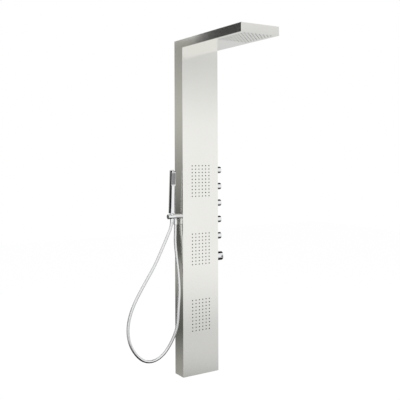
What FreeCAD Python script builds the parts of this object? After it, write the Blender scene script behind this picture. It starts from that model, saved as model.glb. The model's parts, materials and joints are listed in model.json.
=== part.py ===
import FreeCAD, Part
import math
import os
import re

import Sketcher
from FreeCAD import Placement, Rotation, Vector

# Shower panel column, in millimetres. The origin is the middle of the upper wall bracket's two screw
# holes, on the wall. +X is to the right of someone facing the panel, -Y points into the room and +Z up.
# Heights ending in _height are measured from the column's bottom edge.

os.makedirs("parts", exist_ok=True)
doc = FreeCAD.newDocument("shower_panel")

SIZES = {
    # casing
    "column_height": 1600, "column_width": 200, "column_depth": 75, "column_foot": -1400,
    "arm_reach": 548, "arm_thickness": 39, "steel": 1.5, "edge_radius": 1.2,
    "back_lip": 18, "fit_gap": 0.2, "cover_flange": 12, "cap_recess": 4, "cap_flange": 8,
    # body jets and rain nozzles
    "nozzle_columns": 6, "nozzle_rows": 10, "pitch_across": 19, "pitch_up": 16.2,
    "rain_columns": 8, "rain_rows": 10, "rain_pitch": 20, "rain_tip_margin": 20,
    "nozzle_hole": 2.5, "nozzle_radius": 2.2, "nozzle_bore": 0.6, "nozzle_proud": 1.8,
    "nozzle_taper": -5, "mat_thickness": 2,
    "upper_jets_height": 928, "middle_jets_height": 602, "lower_jets_height": 285,
    "chamber_half_width": 55, "chamber_half_length": 79, "chamber_depth": 14,
    "chamber_flange": 3, "chamber_margin": 11, "chamber_wall": 2.5,
    "rain_half_width": 81, "rain_half_length": 96, "rain_depth": 18, "rain_inlet_rise": 11.6,
    "stud_radius": 2, "stud_length": 11.5, "stud_clearance": 0.3, "stud_rise": 70, "rain_stud_rise": 85,
    "nut_circumradius": 4, "nut_height": 3.2, "port_radius": 6, "port_across": -35,
    "lower_port_across": 20, "lower_port_height": 344, "rain_port_across": -36,
    # inner hoses and their spigots
    "tube_radius": 7, "tube_bore": 5, "tube_bend": 50, "spigot_radius": 4.95, "spigot_bore": 3.5,
    "spigot_length": 12, "elbow_radius": 7.5, "elbow_collar": 10, "elbow_reach": 9,
    "ferrule_radius": 8, "ferrule_length": 10, "tube_drop": -70, "tube_fall": -50,
    # valves on the right side
    "rain_valve_height": 978, "upper_valve_height": 898, "hand_valve_height": 816,
    "lower_valve_height": 735, "middle_valve_height": 654, "valve_depth": 37.5,
    "manifold_left": 34, "manifold_right": 62, "manifold_front": 53, "manifold_back": 22,
    "manifold_low": 628, "manifold_high": 1004, "supply_across": 54, "supply_depth": 45,
    "supply_bore": 4.5, "neck_radius": 12, "thread_radius": 9, "thread_end": 103,
    "pocket_radius": 7, "pocket_start": 50, "ring_radius": 15, "hole_gap": 0.3,
    "cartridge_start": 58, "cartridge_end": 104.5, "cartridge_lip": 8.8, "spindle_radius": 3.95,
    "spindle_bore": 4, "spindle_start": 66.5, "spindle_end": 128, "knob_start": 103.5,
    "knob_radius": 17, "knob_length": 33, "knob_hollow": 13.5, "knob_hollow_depth": 6.5, "knob_edge": 3,
    "mark_radius": 1, "mark_reach": 11, "mark_depth": 0.6,
    # thermostatic mixer
    "mixer_height": 553, "mixer_radius": 18, "mixer_left": -56, "mixer_neck": 15, "mixer_bore": 12,
    "mixer_bore_left": -46, "hot_across": -38, "cold_across": 12, "inlet_radius": 10.475,
    "inlet_bore": 7.5, "inlet_thread": 17, "inlet_low": 503, "collar_radius": 13, "collar_height": 8,
    "valve_seat": 5, "check_valve_length": 18, "boss_radius": 11, "boss_high": 585,
    "riser_radius": 6.9, "riser_bore": 5, "riser_seat": 14, "mixer_ring_radius": 20,
    "thermo_start": 30, "thermo_end": 106, "thermo_lip": 14, "stop_end": 112, "stop_radius": 16,
    "thermo_spindle": 4.95, "thermo_spindle_bore": 5, "thermo_spindle_start": 50.5,
    "thermo_spindle_end": 136, "thermo_knob_radius": 22.5, "thermo_knob_length": 40,
    "thermo_hollow": 17.5, "thermo_hollow_depth": 14, "button_room": 24, "hub_radius": 9, "hub_end": 37,
    "thermo_cap_radius": 10.5, "thermo_cap_length": 5.5, "button_radius": 4.5, "button_along": 30.5,
    "button_inner": 14.6, "button_flange": 5.8, "button_flange_end": 16.1, "button_outer": 24.5,
    "button_clearance": 0.08, "spring_radius": 3.6, "spring_wire": 0.8,
    # outlet barrel, holder and hand shower on the left side
    "barrel_height": 760, "barrel_depth": 30, "barrel_radius": 12, "barrel_end": -156,
    "barrel_cap": 1.5, "cap_pin": 4, "cap_pin_length": 4.5, "stem_radius": 10.475, "stem_end": -84,
    "lock_nut_circumradius": 15.6, "lock_nut_length": 6, "outlet_across": -115, "outlet_radius": 8,
    "outlet_bore": 5, "outlet_low": -29, "hose_nut_radius": 10.5, "hose_nut_high": -15,
    "hose_nut_low": -40, "hose_nut_edge": 1.5,
    "hand_across": -134.5, "hand_lean": 2.5, "cone_reach": 16, "cone_top": 9.4, "cone_low": 8.6,
    "cone_nut_high": 15, "cone_nut_low": -26, "cone_nut_top": 9, "cone_nut_foot": 8,
    "hand_thread": 7.4, "hose_seat": 2, "hand_radius": 15, "hand_foot_radius": 16.5,
    "hand_low": 15, "hand_high": 218,
    "hand_edge": 2, "hand_bore": 8.5, "hand_neck_bore": 4.5, "hand_neck_end": 24,
    "flat_low": 150, "flat_high": 212, "flat_offset": 10.6,
    "plate_width": 19.6, "plate_length": 56, "plate_thickness": 2.5, "plate_proud": 0.6,
    "plate_gap": 0.1, "spray_columns": 3, "spray_rows": 10, "spray_pitch_across": 4,
    "spray_pitch_up": 5, "spray_hole": 0.6, "slot_width": 8, "slot_length": 50,
    "hand_cap_height": 4, "hand_cap_plug": 6,
    # free hose
    "hose_radius": 7, "hose_bore": 5, "hose_arc_share": 0.45, "hose_fit": 0.1,
    # wall brackets
    "bracket_half_width": 70, "bracket_plate": 2, "bracket_half_height": 22, "hook_gap": 4,
    "hook_rise": 16, "rail_half_width": 95, "rail_thickness": 2, "rail_top": 70,
    "wall_hole_radius": 3.25, "wall_hole_spacing": 120, "lower_hole_height": 35,
    "lower_plate_top": 55, "tab_reach": 45, "tab_thickness": 3, "cap_screw_radius": 2.5,
    "cap_screw_across": 50, "cap_screw_depth": 30, "cap_screw_length": 10, "cap_screw_head": 4.5,
    "cap_screw_head_height": 2.5,
}

TO_RIGHT = Rotation(Vector(0, 1, 0), 90)
TO_LEFT = Rotation(Vector(0, 1, 0), -90)
TO_FRONT = Rotation(Vector(1, 0, 0), 90)
TO_BACK = Rotation(Vector(1, 0, 0), -90)
UP = Rotation()
DOWN = Rotation(Vector(1, 0, 0), 180)
LEAN = Rotation(Vector(1, 0, 0), SIZES["hand_lean"])

sheet = doc.addObject("Spreadsheet::Sheet", "Sizes")
for row, (alias, size) in enumerate(SIZES.items(), start=1):
    sheet.set("A%d" % row, alias)
    sheet.set("B%d" % row, str(size))
    sheet.setAlias("B%d" % row, alias)
doc.recompute()

nodes = []


def cells(text):
    """The expression with each size's name pointed at its cell."""
    def named(found):
        word = found.group()
        return "Sizes." + word if word in SIZES else word
    return re.sub(r"[a-z][a-z_]*[a-z]", named, text)


def place(thing, x="0", y="0", z="0", turn=UP):
    """Turns a thing and binds its place to the sheet."""
    thing.Placement = Placement(Vector(), turn)
    for axis, text in zip("xyz", (x, y, z)):
        thing.setExpression("Placement.Base." + axis, cells(text))
    return thing


def keep(thing, label):
    """Makes a thing one of the panel's own pieces."""
    thing.Label = label
    nodes.append(thing)
    return thing


# Plain solids


def primitive(kind, label, **sizes):
    thing = doc.addObject("Part::" + kind, label)
    for name, text in sizes.items():
        thing.setExpression(name, cells(text))
    return thing


def rod(label, radius, length, x="0", y="0", z="0", turn=UP):
    return place(primitive("Cylinder", label, Radius=radius, Height=length), x, y, z, turn)


def block(label, low, high):
    """A box between two corners, each given as three expressions."""
    spans = ["(%s) - (%s)" % (b, a) for a, b in zip(low, high)]
    return place(primitive("Box", label, Length=spans[0], Width=spans[1], Height=spans[2]), *low)


def fused(label, pieces):
    thing = doc.addObject("Part::MultiFuse", label)
    thing.Shapes = pieces
    return thing


def cut(label, base, pieces):
    thing = doc.addObject("Part::Cut", label)
    thing.Base = base
    thing.Tool = pieces[0] if len(pieces) == 1 else fused(label + "_tools", pieces)
    return thing


def group(label, pieces):
    """Several like solids under one name."""
    thing = doc.addObject("Part::Compound", label)
    thing.Links = pieces
    return thing


# Bodies built up from sketches


def new_body(label, x="0", y="0", z="0", turn=UP):
    return place(doc.addObject("PartDesign::Body", label), x, y, z, turn)


def sketch_on(body, role, offset="0"):
    """A sketch on one of the body's own origin planes, moved along the plane's normal."""
    sketch = body.newObject("Sketcher::SketchObject", body.Name + "_sketch")
    plane = next(f for f in body.Origin.OriginFeatures if f.Role == role)
    sketch.AttachmentSupport = [(plane, "")]
    sketch.MapMode = "FlatFace"
    sketch.setExpression("AttachmentOffset.Base.z", cells(offset))
    return sketch


def fix(sketch, constraint, text):
    sketch.setExpression("Constraints[%d]" % sketch.addConstraint(constraint), cells(text))


def outline(body, role, corners, offset="0"):
    """A closed outline whose corners are pairs of expressions, measured from the sketch's origin."""
    sketch = sketch_on(body, role, offset)
    count = len(corners)
    start = [Vector(50 * math.cos(2 * math.pi * i / count), 50 * math.sin(2 * math.pi * i / count), 0)
             for i in range(count)]
    for i in range(count):
        sketch.addGeometry(Part.LineSegment(start[i], start[(i + 1) % count]), False)
    for i in range(count):
        sketch.addConstraint(Sketcher.Constraint("Coincident", i, 2, (i + 1) % count, 1))
    for i, (across, up) in enumerate(corners):
        fix(sketch, Sketcher.Constraint("DistanceX", -1, 1, i, 1, start[i].x), across)
        fix(sketch, Sketcher.Constraint("DistanceY", -1, 1, i, 1, start[i].y), up)
    return sketch


def circles(body, role, radius, centres, offset="0"):
    sketch = sketch_on(body, role, offset)
    for i, (across, up) in enumerate(centres):
        sketch.addGeometry(Part.Circle(Vector(10 * i + 5, 5, 0), Vector(0, 0, 1), 1), False)
        fix(sketch, Sketcher.Constraint("Radius", i, 1), radius)
        fix(sketch, Sketcher.Constraint("DistanceX", -1, 1, i, 3, 10 * i + 5), across)
        fix(sketch, Sketcher.Constraint("DistanceY", -1, 1, i, 3, 5), up)
    return sketch


def pad(body, sketch, length, both_ways=False, backwards=False):
    feature = body.newObject("PartDesign::Pad", body.Name + "_pad")
    feature.Profile = sketch
    feature.setExpression("Length", cells(length))
    feature.SideType = "Symmetric" if both_ways else "One side"
    feature.Reversed = backwards
    return feature


def pocket_through(body, sketch):
    feature = body.newObject("PartDesign::Pocket", body.Name + "_pocket")
    feature.Profile = sketch
    feature.Type = "ThroughAll"
    feature.SideType = "Symmetric"
    return feature


def turned(body, corners):
    """Turns a half profile of (radius, height) corners about the body's own Z."""
    feature = body.newObject("PartDesign::Revolution", body.Name + "_turned")
    sketch = outline(body, "XZ_Plane", corners)
    feature.Profile = sketch
    feature.ReferenceAxis = (sketch, ["V_Axis"])
    feature.Angle = 360
    return feature


def grid(body, feature, sketch, columns, rows, across, up):
    """Repeats a feature in columns and rows along its sketch's two axes."""
    pattern = body.newObject("PartDesign::MultiTransform", body.Name + "_grid")
    pattern.Originals = [feature]
    lines = []
    for axis, count, spacing in (("H_Axis", columns, across), ("V_Axis", rows, up)):
        line = body.newObject("PartDesign::LinearPattern", body.Name + "_line")
        line.Direction = (sketch, [axis])
        line.Mode = "Spacing"
        line.setExpression("Offset", cells(spacing))
        line.setExpression("Occurrences", cells(count))
        lines.append(line)
    pattern.Transformations = lines
    body.Tip = pattern
    return pattern


def soften(body, radius, wanted):
    """Rounds the edges of the body's last feature that the test picks."""
    doc.recompute()
    base = body.Tip
    names = ["Edge%d" % (i + 1) for i, edge in enumerate(base.Shape.Edges) if wanted(edge)]
    feature = body.newObject("PartDesign::Fillet", body.Name + "_edges")
    feature.Base = (base, names)
    feature.setExpression("Radius", cells(radius))
    return feature


def above_foot(height):
    return "column_foot + " + height


# Casing

first_across = "-pitch_across * (nozzle_columns - 1) / 2"
first_up = "-pitch_up * (nozzle_rows - 1) / 2"
rain_across = "-rain_pitch * (rain_columns - 1) / 2"
JETS = ("upper", "middle", "lower")
VALVES = ("rain", "upper", "middle", "hand", "lower")


def on_flat_edge(edge, x, y=None, z=None):
    """Whether a straight edge lies wholly at the given coordinates."""
    for point in (v.Point for v in edge.Vertexes):
        for value, target in zip(point, (x, y, z)):
            if target is not None and abs(value - target) > 0.01:
                return False
    return True


def front_panel():
    body = new_body("front_panel", z="column_foot")
    panel = outline(body, "YZ_Plane", [
        ("-column_depth", "0"),
        ("-column_depth", "column_height - arm_thickness"),
        ("-arm_reach", "column_height - arm_thickness"),
        ("-arm_reach", "column_height - steel"),
        ("steel - arm_reach", "column_height - steel"),
        ("steel - arm_reach", "column_height - arm_thickness + steel"),
        ("steel - column_depth", "column_height - arm_thickness + steel"),
        ("steel - column_depth", "0"),
    ])
    pad(body, panel, "column_width", both_ways=True)
    half = SIZES["column_width"] / 2
    under = SIZES["column_height"] - SIZES["arm_thickness"]

    def outer(edge):
        return any(on_flat_edge(edge, side, -SIZES["column_depth"]) or on_flat_edge(edge, side, None, under)
                   or on_flat_edge(edge, side, -SIZES["arm_reach"]) for side in (-half, half))

    soften(body, "edge_radius", outer)
    for name in JETS:
        hole = circles(body, "XZ_Plane", "nozzle_hole", [(first_across, name + "_jets_height + " + first_up)])
        grid(body, pocket_through(body, hole), hole, "nozzle_columns", "nozzle_rows",
             "pitch_across", "pitch_up")
    hole = circles(body, "XY_Plane", "nozzle_hole", [(rain_across, "rain_tip_margin - arm_reach")])
    grid(body, pocket_through(body, hole), hole, "rain_columns", "rain_rows", "rain_pitch", "rain_pitch")
    return keep(body, "front_panel")


def side_panel(label, side, holes):
    """One L-shaped cheek with its back lip; side is -1 on the left and 1 on the right."""
    body = new_body(label, x="%d * column_width / 2" % side, z="column_foot")
    cheek = outline(body, "YZ_Plane", [
        ("0", "0"),
        ("0", "column_height - steel"),
        ("steel - arm_reach", "column_height - steel"),
        ("steel - arm_reach", "column_height - arm_thickness + steel"),
        ("steel - column_depth", "column_height - arm_thickness + steel"),
        ("steel - column_depth", "0"),
    ])
    pad(body, cheek, "steel", backwards=side > 0)
    lip = outline(body, "YZ_Plane", [
        ("0", "0"), ("0", "column_height - steel"), ("-steel", "column_height - steel"), ("-steel", "0")])
    pad(body, lip, "back_lip", backwards=side > 0)
    for radius, centres in holes:
        pocket_through(body, circles(body, "YZ_Plane", radius, centres))
    return keep(body, label)


def arm_top_cover():
    body = new_body("arm_top_cover", z="column_foot + column_height - steel")
    plate = outline(body, "XZ_Plane", [
        ("-column_width / 2", "0"), ("column_width / 2", "0"),
        ("column_width / 2", "steel"), ("-column_width / 2", "steel")])
    pad(body, plate, "arm_reach")
    for side in ("-1", "1"):
        outside = side + " * (column_width / 2 - steel - fit_gap)"
        inside = side + " * (column_width / 2 - 2 * steel - fit_gap)"
        flange = outline(body, "XZ_Plane", [
            (outside, "0"), (inside, "0"), (inside, "-cover_flange"), (outside, "-cover_flange")],
            offset="2 * steel")
        pad(body, flange, "arm_reach - 5 * steel")
    return keep(body, "arm_top_cover")


def bottom_cap():
    half = "(column_width / 2 - steel - fit_gap)"
    floor = "column_foot + cap_recess"
    front = "steel + fit_gap - column_depth"
    back = "-steel - fit_gap"
    tray = block("cap_outside", ("-" + half, front, floor), (half, back, floor + " + cap_flange"))
    hollow = block("cap_inside", ("steel - " + half, front + " + steel", floor + " + steel"),
                   (half + " - steel", "steel", floor + " + cap_flange + steel"))
    holes = [rod("cap_hole", "cap_screw_radius + fit_gap", "3 * steel", "%d * cap_screw_across" % side,
                 "-cap_screw_depth", floor + " - steel") for side in (-1, 1)]
    return keep(cut("bottom_cap", tray, [hollow] + holes), "bottom_cap")


# Wall brackets


def upper_wall_bracket():
    body = new_body("upper_wall_bracket")
    section = outline(body, "YZ_Plane", [
        ("0", "-bracket_half_height"),
        ("0", "bracket_half_height"),
        ("-hook_gap", "bracket_half_height"),
        ("-hook_gap", "bracket_half_height + hook_rise"),
        ("-hook_gap - bracket_plate", "bracket_half_height + hook_rise"),
        ("-hook_gap - bracket_plate", "bracket_half_height - bracket_plate"),
        ("-bracket_plate", "bracket_half_height - bracket_plate"),
        ("-bracket_plate", "-bracket_half_height"),
    ])
    pad(body, section, "2 * bracket_half_width", both_ways=True)
    screws = [("-wall_hole_spacing / 2", "0"), ("wall_hole_spacing / 2", "0")]
    pocket_through(body, circles(body, "XZ_Plane", "wall_hole_radius", screws))
    return keep(body, "upper_wall_bracket")


def hanger_rail():
    low = ("-rail_half_width", "-steel - rail_thickness", "bracket_half_height")
    return keep(block("hanger_rail", low, ("rail_half_width", "-steel", "rail_top")), "hanger_rail")


def lower_wall_bracket():
    body = new_body("lower_wall_bracket", z="column_foot")
    seat = "cap_recess + steel"
    section = outline(body, "YZ_Plane", [
        ("0", seat),
        ("0", "lower_plate_top"),
        ("-bracket_plate", "lower_plate_top"),
        ("-bracket_plate", seat + " + tab_thickness"),
        ("-tab_reach", seat + " + tab_thickness"),
        ("-tab_reach", seat),
    ])
    pad(body, section, "2 * bracket_half_width", both_ways=True)
    walls = [("-wall_hole_spacing / 2", "lower_hole_height"), ("wall_hole_spacing / 2", "lower_hole_height")]
    pocket_through(body, circles(body, "XZ_Plane", "wall_hole_radius", walls))
    taps = [("-cap_screw_across", "-cap_screw_depth"), ("cap_screw_across", "-cap_screw_depth")]
    pocket_through(body, circles(body, "XY_Plane", "cap_screw_radius + fit_gap / 2", taps))
    return keep(body, "lower_wall_bracket")


def cap_screws():
    """Two pan-head screws that hold the bottom cap and the casing to the lower bracket."""
    screws = []
    for side in (-1, 1):
        body = new_body("cap_screw", "%d * cap_screw_across" % side, "-cap_screw_depth",
                        "column_foot + cap_recess")
        turned(body, [("0", "-cap_screw_head_height"), ("cap_screw_head - 1", "-cap_screw_head_height"),
                      ("cap_screw_head", "1 - cap_screw_head_height"), ("cap_screw_head", "0"),
                      ("cap_screw_radius", "0"), ("cap_screw_radius", "cap_screw_length"),
                      ("0", "cap_screw_length")])
        screws.append(body)
    return keep(group("cap_screws", screws), "cap_screws")


# Body jets and rain head


def rectangle(body, half_width, half_length, offset="0"):
    wide, high = "(%s)" % half_width, "(%s)" % half_length
    corners = [("-" + wide, "-" + high), (wide, "-" + high), (wide, high), ("-" + wide, high)]
    return outline(body, "XZ_Plane", corners, offset)


def nozzle_mat(label, place_at, turn, field, half_width, half_length, studs):
    """A silicone mat behind the steel, with its nozzles standing through the steel's holes."""
    columns, rows, across, up, first = field
    body = new_body(label, *place_at, turn=turn)
    pad(body, rectangle(body, half_width + " + chamber_margin", half_length + " + chamber_margin"),
        "mat_thickness", backwards=True)
    spot = circles(body, "XZ_Plane", "nozzle_radius", [first])
    nozzle = pad(body, spot, "steel + nozzle_proud")
    nozzle.setExpression("TaperAngle", cells("nozzle_taper"))
    grid(body, nozzle, spot, columns, rows, across, up)
    hole = circles(body, "XZ_Plane", "nozzle_bore", [first])
    grid(body, pocket_through(body, hole), hole, columns, rows, across, up)
    pocket_through(body, circles(body, "XZ_Plane", "stud_radius + stud_clearance", studs))
    return keep(body, label)


def chamber(label, place_at, turn, half_width, half_length, depth, studs, port):
    """A water chamber: an open box with a flange, clamped over its mat by nuts on welded studs."""
    body = new_body(label, *place_at, turn=turn)
    behind = "-mat_thickness"
    pad(body, rectangle(body, half_width + " + chamber_margin", half_length + " + chamber_margin", behind),
        "chamber_flange", backwards=True)
    pad(body, rectangle(body, half_width, half_length, behind), depth, backwards=True)
    hollow = body.newObject("PartDesign::Pocket", body.Name + "_hollow")
    hollow.Profile = rectangle(body, half_width + " - chamber_wall", half_length + " - chamber_wall", behind)
    hollow.setExpression("Length", cells(depth + " - chamber_wall"))
    pocket_through(body, circles(body, "XZ_Plane", "stud_radius + stud_clearance", studs))
    if port:
        pocket_through(body, circles(body, "XZ_Plane", "port_radius", [port]))
    return body


def stud_spots(half_width, rise):
    """Six studs round a chamber, as (across, up) from its middle."""
    across = "(%s + chamber_margin / 2)" % half_width
    return [("%d * %s" % (side, across), "%d * %s" % (step, rise)) for side in (-1, 1) for step in (-1, 0, 1)]


def hex_nut(x, y, z, turn):
    hexagon = primitive("Prism", "nut_hexagon", Circumradius="nut_circumradius", Height="nut_height")
    hexagon.Polygon = 6
    hole = rod("nut_hole", "stud_radius + 0.05", "nut_height")
    return place(cut("nut", hexagon, [hole]), x, y, z, turn)


JET_PORTS = {
    "upper": ("port_across", "upper_valve_height", TO_RIGHT),
    "middle": ("port_across", "middle_valve_height", TO_RIGHT),
    "lower": ("lower_port_across", "lower_port_height", TO_LEFT),
}


def jet_modules():
    """The three body jet modules; gives back their studs and nuts."""
    studs, nuts = [], []
    spots = stud_spots("chamber_half_width", "stud_rise")
    wall = "steel - column_depth"
    field = ("nozzle_columns", "nozzle_rows", "pitch_across", "pitch_up", (first_across, first_up))
    for name in JETS:
        middle = above_foot(name + "_jets_height")
        spot = ("0", wall, middle)
        nozzle_mat(name + "_jet_mat", spot, UP, field, "chamber_half_width", "chamber_half_length", spots)
        port, height, _ = JET_PORTS[name]
        keep(chamber(name + "_jet_chamber", spot, UP, "chamber_half_width", "chamber_half_length",
                     "chamber_depth", spots, (port, "%s - %s_jets_height" % (height, name))),
             name + "_jet_chamber")
        for across, up in spots:
            z = middle + " + " + up
            studs.append(rod("stud", "stud_radius", "stud_length", across, wall, z, TO_BACK))
            nuts.append(hex_nut(across, wall + " + mat_thickness + chamber_flange", z, TO_BACK))
    return studs, nuts


def jet_elbows():
    """The elbows that carry water from the inner hoses into the jet chambers."""
    elbows = []
    seat = "steel + mat_thickness + chamber_depth - column_depth"
    for across, height, way in JET_PORTS.values():
        z = above_foot(height)
        inner = seat + " - chamber_wall"
        plug = rod("elbow_plug", "port_radius - 0.05", "chamber_wall", across, inner, z, TO_BACK)
        collar = rod("elbow_collar", "elbow_collar", "chamber_flange", across, seat, z, TO_BACK)
        core = rod("elbow_core", "elbow_radius", "elbow_radius - valve_depth - (%s)" % seat,
                   across, seat, z, TO_BACK)
        spigot = rod("elbow_spigot", "spigot_radius", "elbow_reach + spigot_length",
                     across, "-valve_depth", z, way)
        inward = rod("elbow_inward", "spigot_bore", "-valve_depth - (%s)" % inner,
                     across, inner, z, TO_BACK)
        sideways = rod("elbow_sideways", "spigot_bore", "elbow_reach + spigot_length",
                       across, "-valve_depth", z, way)
        elbows.append(cut("elbow", fused("elbow_solid", [plug, collar, core, spigot]), [inward, sideways]))
    return keep(group("jet_elbows", elbows), "jet_elbows")


rain_middle = "(rain_tip_margin + rain_pitch * (rain_rows - 1) / 2 - arm_reach)"
rain_floor = above_foot("column_height - arm_thickness + steel")
rain_inlet_y = rain_middle + " + rain_half_length"
rain_inlet_z = rain_floor + " + mat_thickness + rain_inlet_rise"


def rain_head():
    """The rain mat and chamber over the arm's underside; gives back their studs and nuts."""
    spots = stud_spots("rain_half_width", "rain_stud_rise")
    spot = ("0", rain_middle, rain_floor)
    field = ("rain_columns", "rain_rows", "rain_pitch", "rain_pitch",
             (rain_across, "-rain_pitch * (rain_rows - 1) / 2"))
    nozzle_mat("rain_mat", spot, TO_FRONT, field, "rain_half_width", "rain_half_length", spots)
    box = chamber("rain_box", spot, TO_FRONT, "rain_half_width", "rain_half_length", "rain_depth", spots,
                  None)
    spigot = rod("rain_spigot", "spigot_radius", "spigot_length", "rain_port_across", rain_inlet_y,
                 rain_inlet_z, TO_BACK)
    bore = rod("rain_bore", "spigot_bore", "spigot_length + 2 * chamber_wall", "rain_port_across",
               rain_inlet_y + " - 2 * chamber_wall", rain_inlet_z, TO_BACK)
    keep(cut("rain_chamber", fused("rain_solid", [box, spigot]), [bore]), "rain_chamber")
    studs, nuts = [], []
    for across, up in spots:
        y = rain_middle + " + " + up
        studs.append(rod("stud", "stud_radius", "stud_length", across, y, rain_floor))
        nuts.append(hex_nut(across, y, rain_floor + " + mat_thickness + chamber_flange", UP))
    return studs, nuts


# Valves and manifold

inside_right = "(column_width / 2 - steel)"
outside_right = "(column_width / 2)"


def ring(label, outer, inner, start, end, height):
    """A ring about a side axis of the given height, from one X to another."""
    x, y, z = start, "-valve_depth", above_foot(height)
    length = "%s - (%s)" % (end, start)
    return cut(label, rod(label + "_outside", outer, length, x, y, z, TO_RIGHT),
               [rod(label + "_inside", inner, length, x, y, z, TO_RIGHT)])


def manifold():
    """The brass block behind the five valves, fed from below through one upright bore."""
    low = above_foot("manifold_low")
    solids = [block("manifold_block", ("manifold_left", "-manifold_front", low),
                    ("manifold_right", "-manifold_back", above_foot("manifold_high")))]
    bores = [rod("supply", "supply_bore", "rain_valve_height - manifold_low", "supply_across",
                 "-supply_depth", low),
             rod("riser_socket", "riser_radius + 0.1", "riser_seat", "supply_across",
                 "-supply_depth", low)]
    for name in VALVES:
        z = above_foot(name + "_valve_height")
        solids.append(rod("neck", "neck_radius", inside_right + " - manifold_right", "manifold_right",
                          "-valve_depth", z, TO_RIGHT))
        solids.append(rod("thread", "thread_radius", "thread_end - " + inside_right, inside_right,
                          "-valve_depth", z, TO_RIGHT))
        solids.append(rod("spigot", "spigot_radius", "spigot_length", "manifold_left",
                          "-valve_depth", z, TO_LEFT))
        bores.append(rod("pocket", "pocket_radius", "thread_end - pocket_start", "pocket_start",
                         "-valve_depth", z, TO_RIGHT))
        bores.append(rod("outlet", "spigot_bore", "pocket_start - manifold_left + spigot_length",
                         "pocket_start", "-valve_depth", z, TO_LEFT))
    return keep(cut("manifold_body", fused("manifold_solid", solids), bores), "manifold_body")


def valve_parts():
    """Ring nuts and cartridges, and each valve's own spindle and knob."""
    rings, cartridges = [], []
    for name in VALVES:
        height = name + "_valve_height"
        rings.append(ring("ring_nut", "ring_radius", "thread_radius + 0.05", outside_right,
                          "thread_end", height))
        body = new_body("cartridge", "cartridge_start", "-valve_depth", above_foot(height), TO_RIGHT)
        lip, end = "thread_end - cartridge_start", "cartridge_end - cartridge_start"
        seat = "spindle_start - 0.5 - cartridge_start"
        turned(body, [
            ("0", "0"), ("pocket_radius - 0.05", "0"), ("pocket_radius - 0.05", lip),
            ("cartridge_lip", lip), ("cartridge_lip", end), ("spindle_bore", end),
            ("spindle_bore", seat), ("0", seat)])
        cartridges.append(body)
    keep(group("valve_ring_nuts", rings), "valve_ring_nuts")
    keep(group("valve_cartridges", cartridges), "valve_cartridges")
    for name in VALVES:
        z = above_foot(name + "_valve_height")
        keep(rod(name + "_valve_spindle", "spindle_radius", "spindle_end - spindle_start",
                 "spindle_start", "-valve_depth", z, TO_RIGHT), name + "_valve_spindle")
        valve_knob(name + "_valve_knob", z)


def valve_knob(label, z):
    """A hollow-backed round knob with a small dimple that shows how far it is turned."""
    body = new_body(label, "knob_start", "-valve_depth", z, TO_RIGHT)
    turned(body, [
        ("knob_hollow", "0"), ("knob_radius", "0"), ("knob_radius", "knob_length"), ("0", "knob_length"),
        ("0", "spindle_end - knob_start"), ("spindle_bore", "spindle_end - knob_start"),
        ("spindle_bore", "knob_hollow_depth"), ("knob_hollow", "knob_hollow_depth")])
    soften(body, "knob_edge", rim(SIZES["knob_radius"], SIZES["knob_length"]))
    dimple = body.newObject("PartDesign::Pocket", body.Name + "_dimple")
    dimple.Profile = circles(body, "XY_Plane", "mark_radius", [("-mark_reach", "0")], "knob_length")
    dimple.setExpression("Length", cells("mark_depth"))
    return keep(body, label)


def rim(radius, height):
    """A test for the round edge of one radius at one height on a turned body's own Z."""
    def wanted(edge):
        curve = edge.Curve
        if not isinstance(curve, Part.Circle):
            return False
        return abs(curve.Radius - radius) < 0.01 and abs(curve.Center.z - height) < 0.01
    return wanted


# Thermostatic mixer

mixer_z = above_foot("mixer_height")


def mixer_body():
    """The mixer's brass body: inlets below, thermostat on the right and its outlet boss above."""
    inlet_z = above_foot("inlet_low")
    solids = [rod("mixer_barrel", "mixer_radius", inside_right + " - mixer_left", "mixer_left",
                  "-valve_depth", mixer_z, TO_RIGHT),
              rod("mixer_neck", "mixer_neck", "thread_end - " + inside_right, inside_right,
                  "-valve_depth", mixer_z, TO_RIGHT),
              rod("mixer_boss", "boss_radius", "boss_high - mixer_height", "supply_across",
                  "-supply_depth", mixer_z)]
    bores = [rod("mixer_bore", "mixer_bore", "thread_end - mixer_bore_left", "mixer_bore_left",
                 "-valve_depth", mixer_z, TO_RIGHT),
             rod("boss_bore", "supply_bore", "boss_high - mixer_height", "supply_across",
                 "-supply_depth", mixer_z),
             rod("boss_socket", "riser_radius + 0.1", "riser_seat", "supply_across",
                 "-supply_depth", above_foot("boss_high - riser_seat"))]
    for across in ("hot_across", "cold_across"):
        solids.append(rod("inlet", "inlet_radius", "mixer_height - inlet_low", across,
                          "-valve_depth", inlet_z))
        solids.append(rod("inlet_collar", "collar_radius", "collar_height", across, "-valve_depth",
                          inlet_z + " + inlet_thread"))
        bores.append(rod("inlet_bore", "inlet_bore", "mixer_height - inlet_low", across,
                         "-valve_depth", inlet_z))
    return keep(cut("mixer_body", fused("mixer_solid", solids), bores), "mixer_body")


def check_valves():
    valves = []
    for across in ("hot_across", "cold_across"):
        z = above_foot("inlet_low + valve_seat")
        outside = rod("check_outside", "inlet_bore - 0.05", "check_valve_length", across, "-valve_depth", z)
        inside = rod("check_inside", "supply_bore", "check_valve_length", across, "-valve_depth", z)
        valves.append(cut("check_valve", outside, [inside]))
    return keep(group("inlet_check_valves", valves), "inlet_check_valves")


def riser_pipe():
    low, high = "boss_high - riser_seat", "manifold_low + riser_seat"
    where = ("supply_across", "-supply_depth", above_foot(low))
    outside = rod("riser_outside", "riser_radius", "%s - (%s)" % (high, low), *where)
    inside = rod("riser_inside", "riser_bore", "%s - (%s)" % (high, low), *where)
    return keep(cut("riser_pipe", outside, [inside]), "riser_pipe")


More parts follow.
